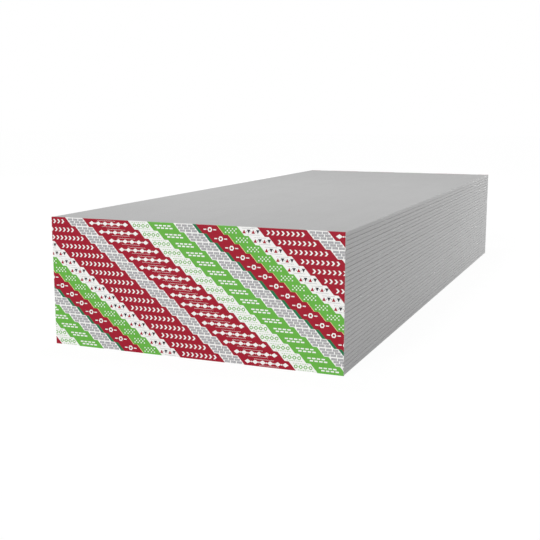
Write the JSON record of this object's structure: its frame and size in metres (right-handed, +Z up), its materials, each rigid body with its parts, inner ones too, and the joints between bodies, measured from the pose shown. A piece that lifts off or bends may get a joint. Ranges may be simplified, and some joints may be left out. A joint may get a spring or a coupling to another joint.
{
  "type": "stack of drywall sheets",
  "caption": "Flat stack of long tapered-edge drywall sheets, laid face to face in pairs, with a printed paper tape folded over both ends of each pair.",
  "frame": {"origin": "centre of the stack's footprint, on the plane that the lowest tape folds rest on", "axes": "+X across the sheets, +Y along them from the printed near end to the far end, +Z up"},
  "size_m": [1.2192, 3.0486, 0.516],
  "materials": {
    "board_paper": "matte",
    "end_tape": "satin"
  },
  "bodies": {
    "root": {"bundle_01_lower_sheet": "board_paper", "bundle_01_upper_sheet": "board_paper", "bundle_01_end_tapes": "end_tape", "bundle_02_lower_sheet": "board_paper", "bundle_02_upper_sheet": "board_paper", "bundle_02_end_tapes": "end_tape", "bundle_03_lower_sheet": "board_paper", "bundle_03_upper_sheet": "board_paper", "bundle_03_end_tapes": "end_tape", "bundle_04_lower_sheet": "board_paper", "bundle_04_upper_sheet": "board_paper", "bundle_04_end_tapes": "end_tape", "bundle_05_lower_sheet": "board_paper", "bundle_05_upper_sheet": "board_paper", "bundle_05_end_tapes": "end_tape", "bundle_06_lower_sheet": "board_paper", "bundle_06_upper_sheet": "board_paper", "bundle_06_end_tapes": "end_tape", "bundle_07_lower_sheet": "board_paper", "bundle_07_upper_sheet": "board_paper", "bundle_07_end_tapes": "end_tape", "bundle_08_lower_sheet": "board_paper", "bundle_08_upper_sheet": "board_paper", "bundle_08_end_tapes": "end_tape", "bundle_09_lower_sheet": "board_paper", "bundle_09_upper_sheet": "board_paper", "bundle_09_end_tapes": "end_tape", "bundle_10_lower_sheet": "board_paper", "bundle_10_upper_sheet": "board_paper", "bundle_10_end_tapes": "end_tape", "bundle_11_lower_sheet": "board_paper", "bundle_11_upper_sheet": "board_paper", "bundle_11_end_tapes": "end_tape", "bundle_12_lower_sheet": "board_paper", "bundle_12_upper_sheet": "board_paper", "bundle_12_end_tapes": "end_tape", "bundle_13_lower_sheet": "board_paper", "bundle_13_upper_sheet": "board_paper", "bundle_13_end_tapes": "end_tape", "bundle_14_lower_sheet": "board_paper", "bundle_14_upper_sheet": "board_paper", "bundle_14_end_tapes": "end_tape", "bundle_15_lower_sheet": "board_paper", "bundle_15_upper_sheet": "board_paper", "bundle_15_end_tapes": "end_tape", "bundle_16_lower_sheet": "board_paper", "bundle_16_upper_sheet": "board_paper", "bundle_16_end_tapes": "end_tape"}
  },
  "joints": []
}
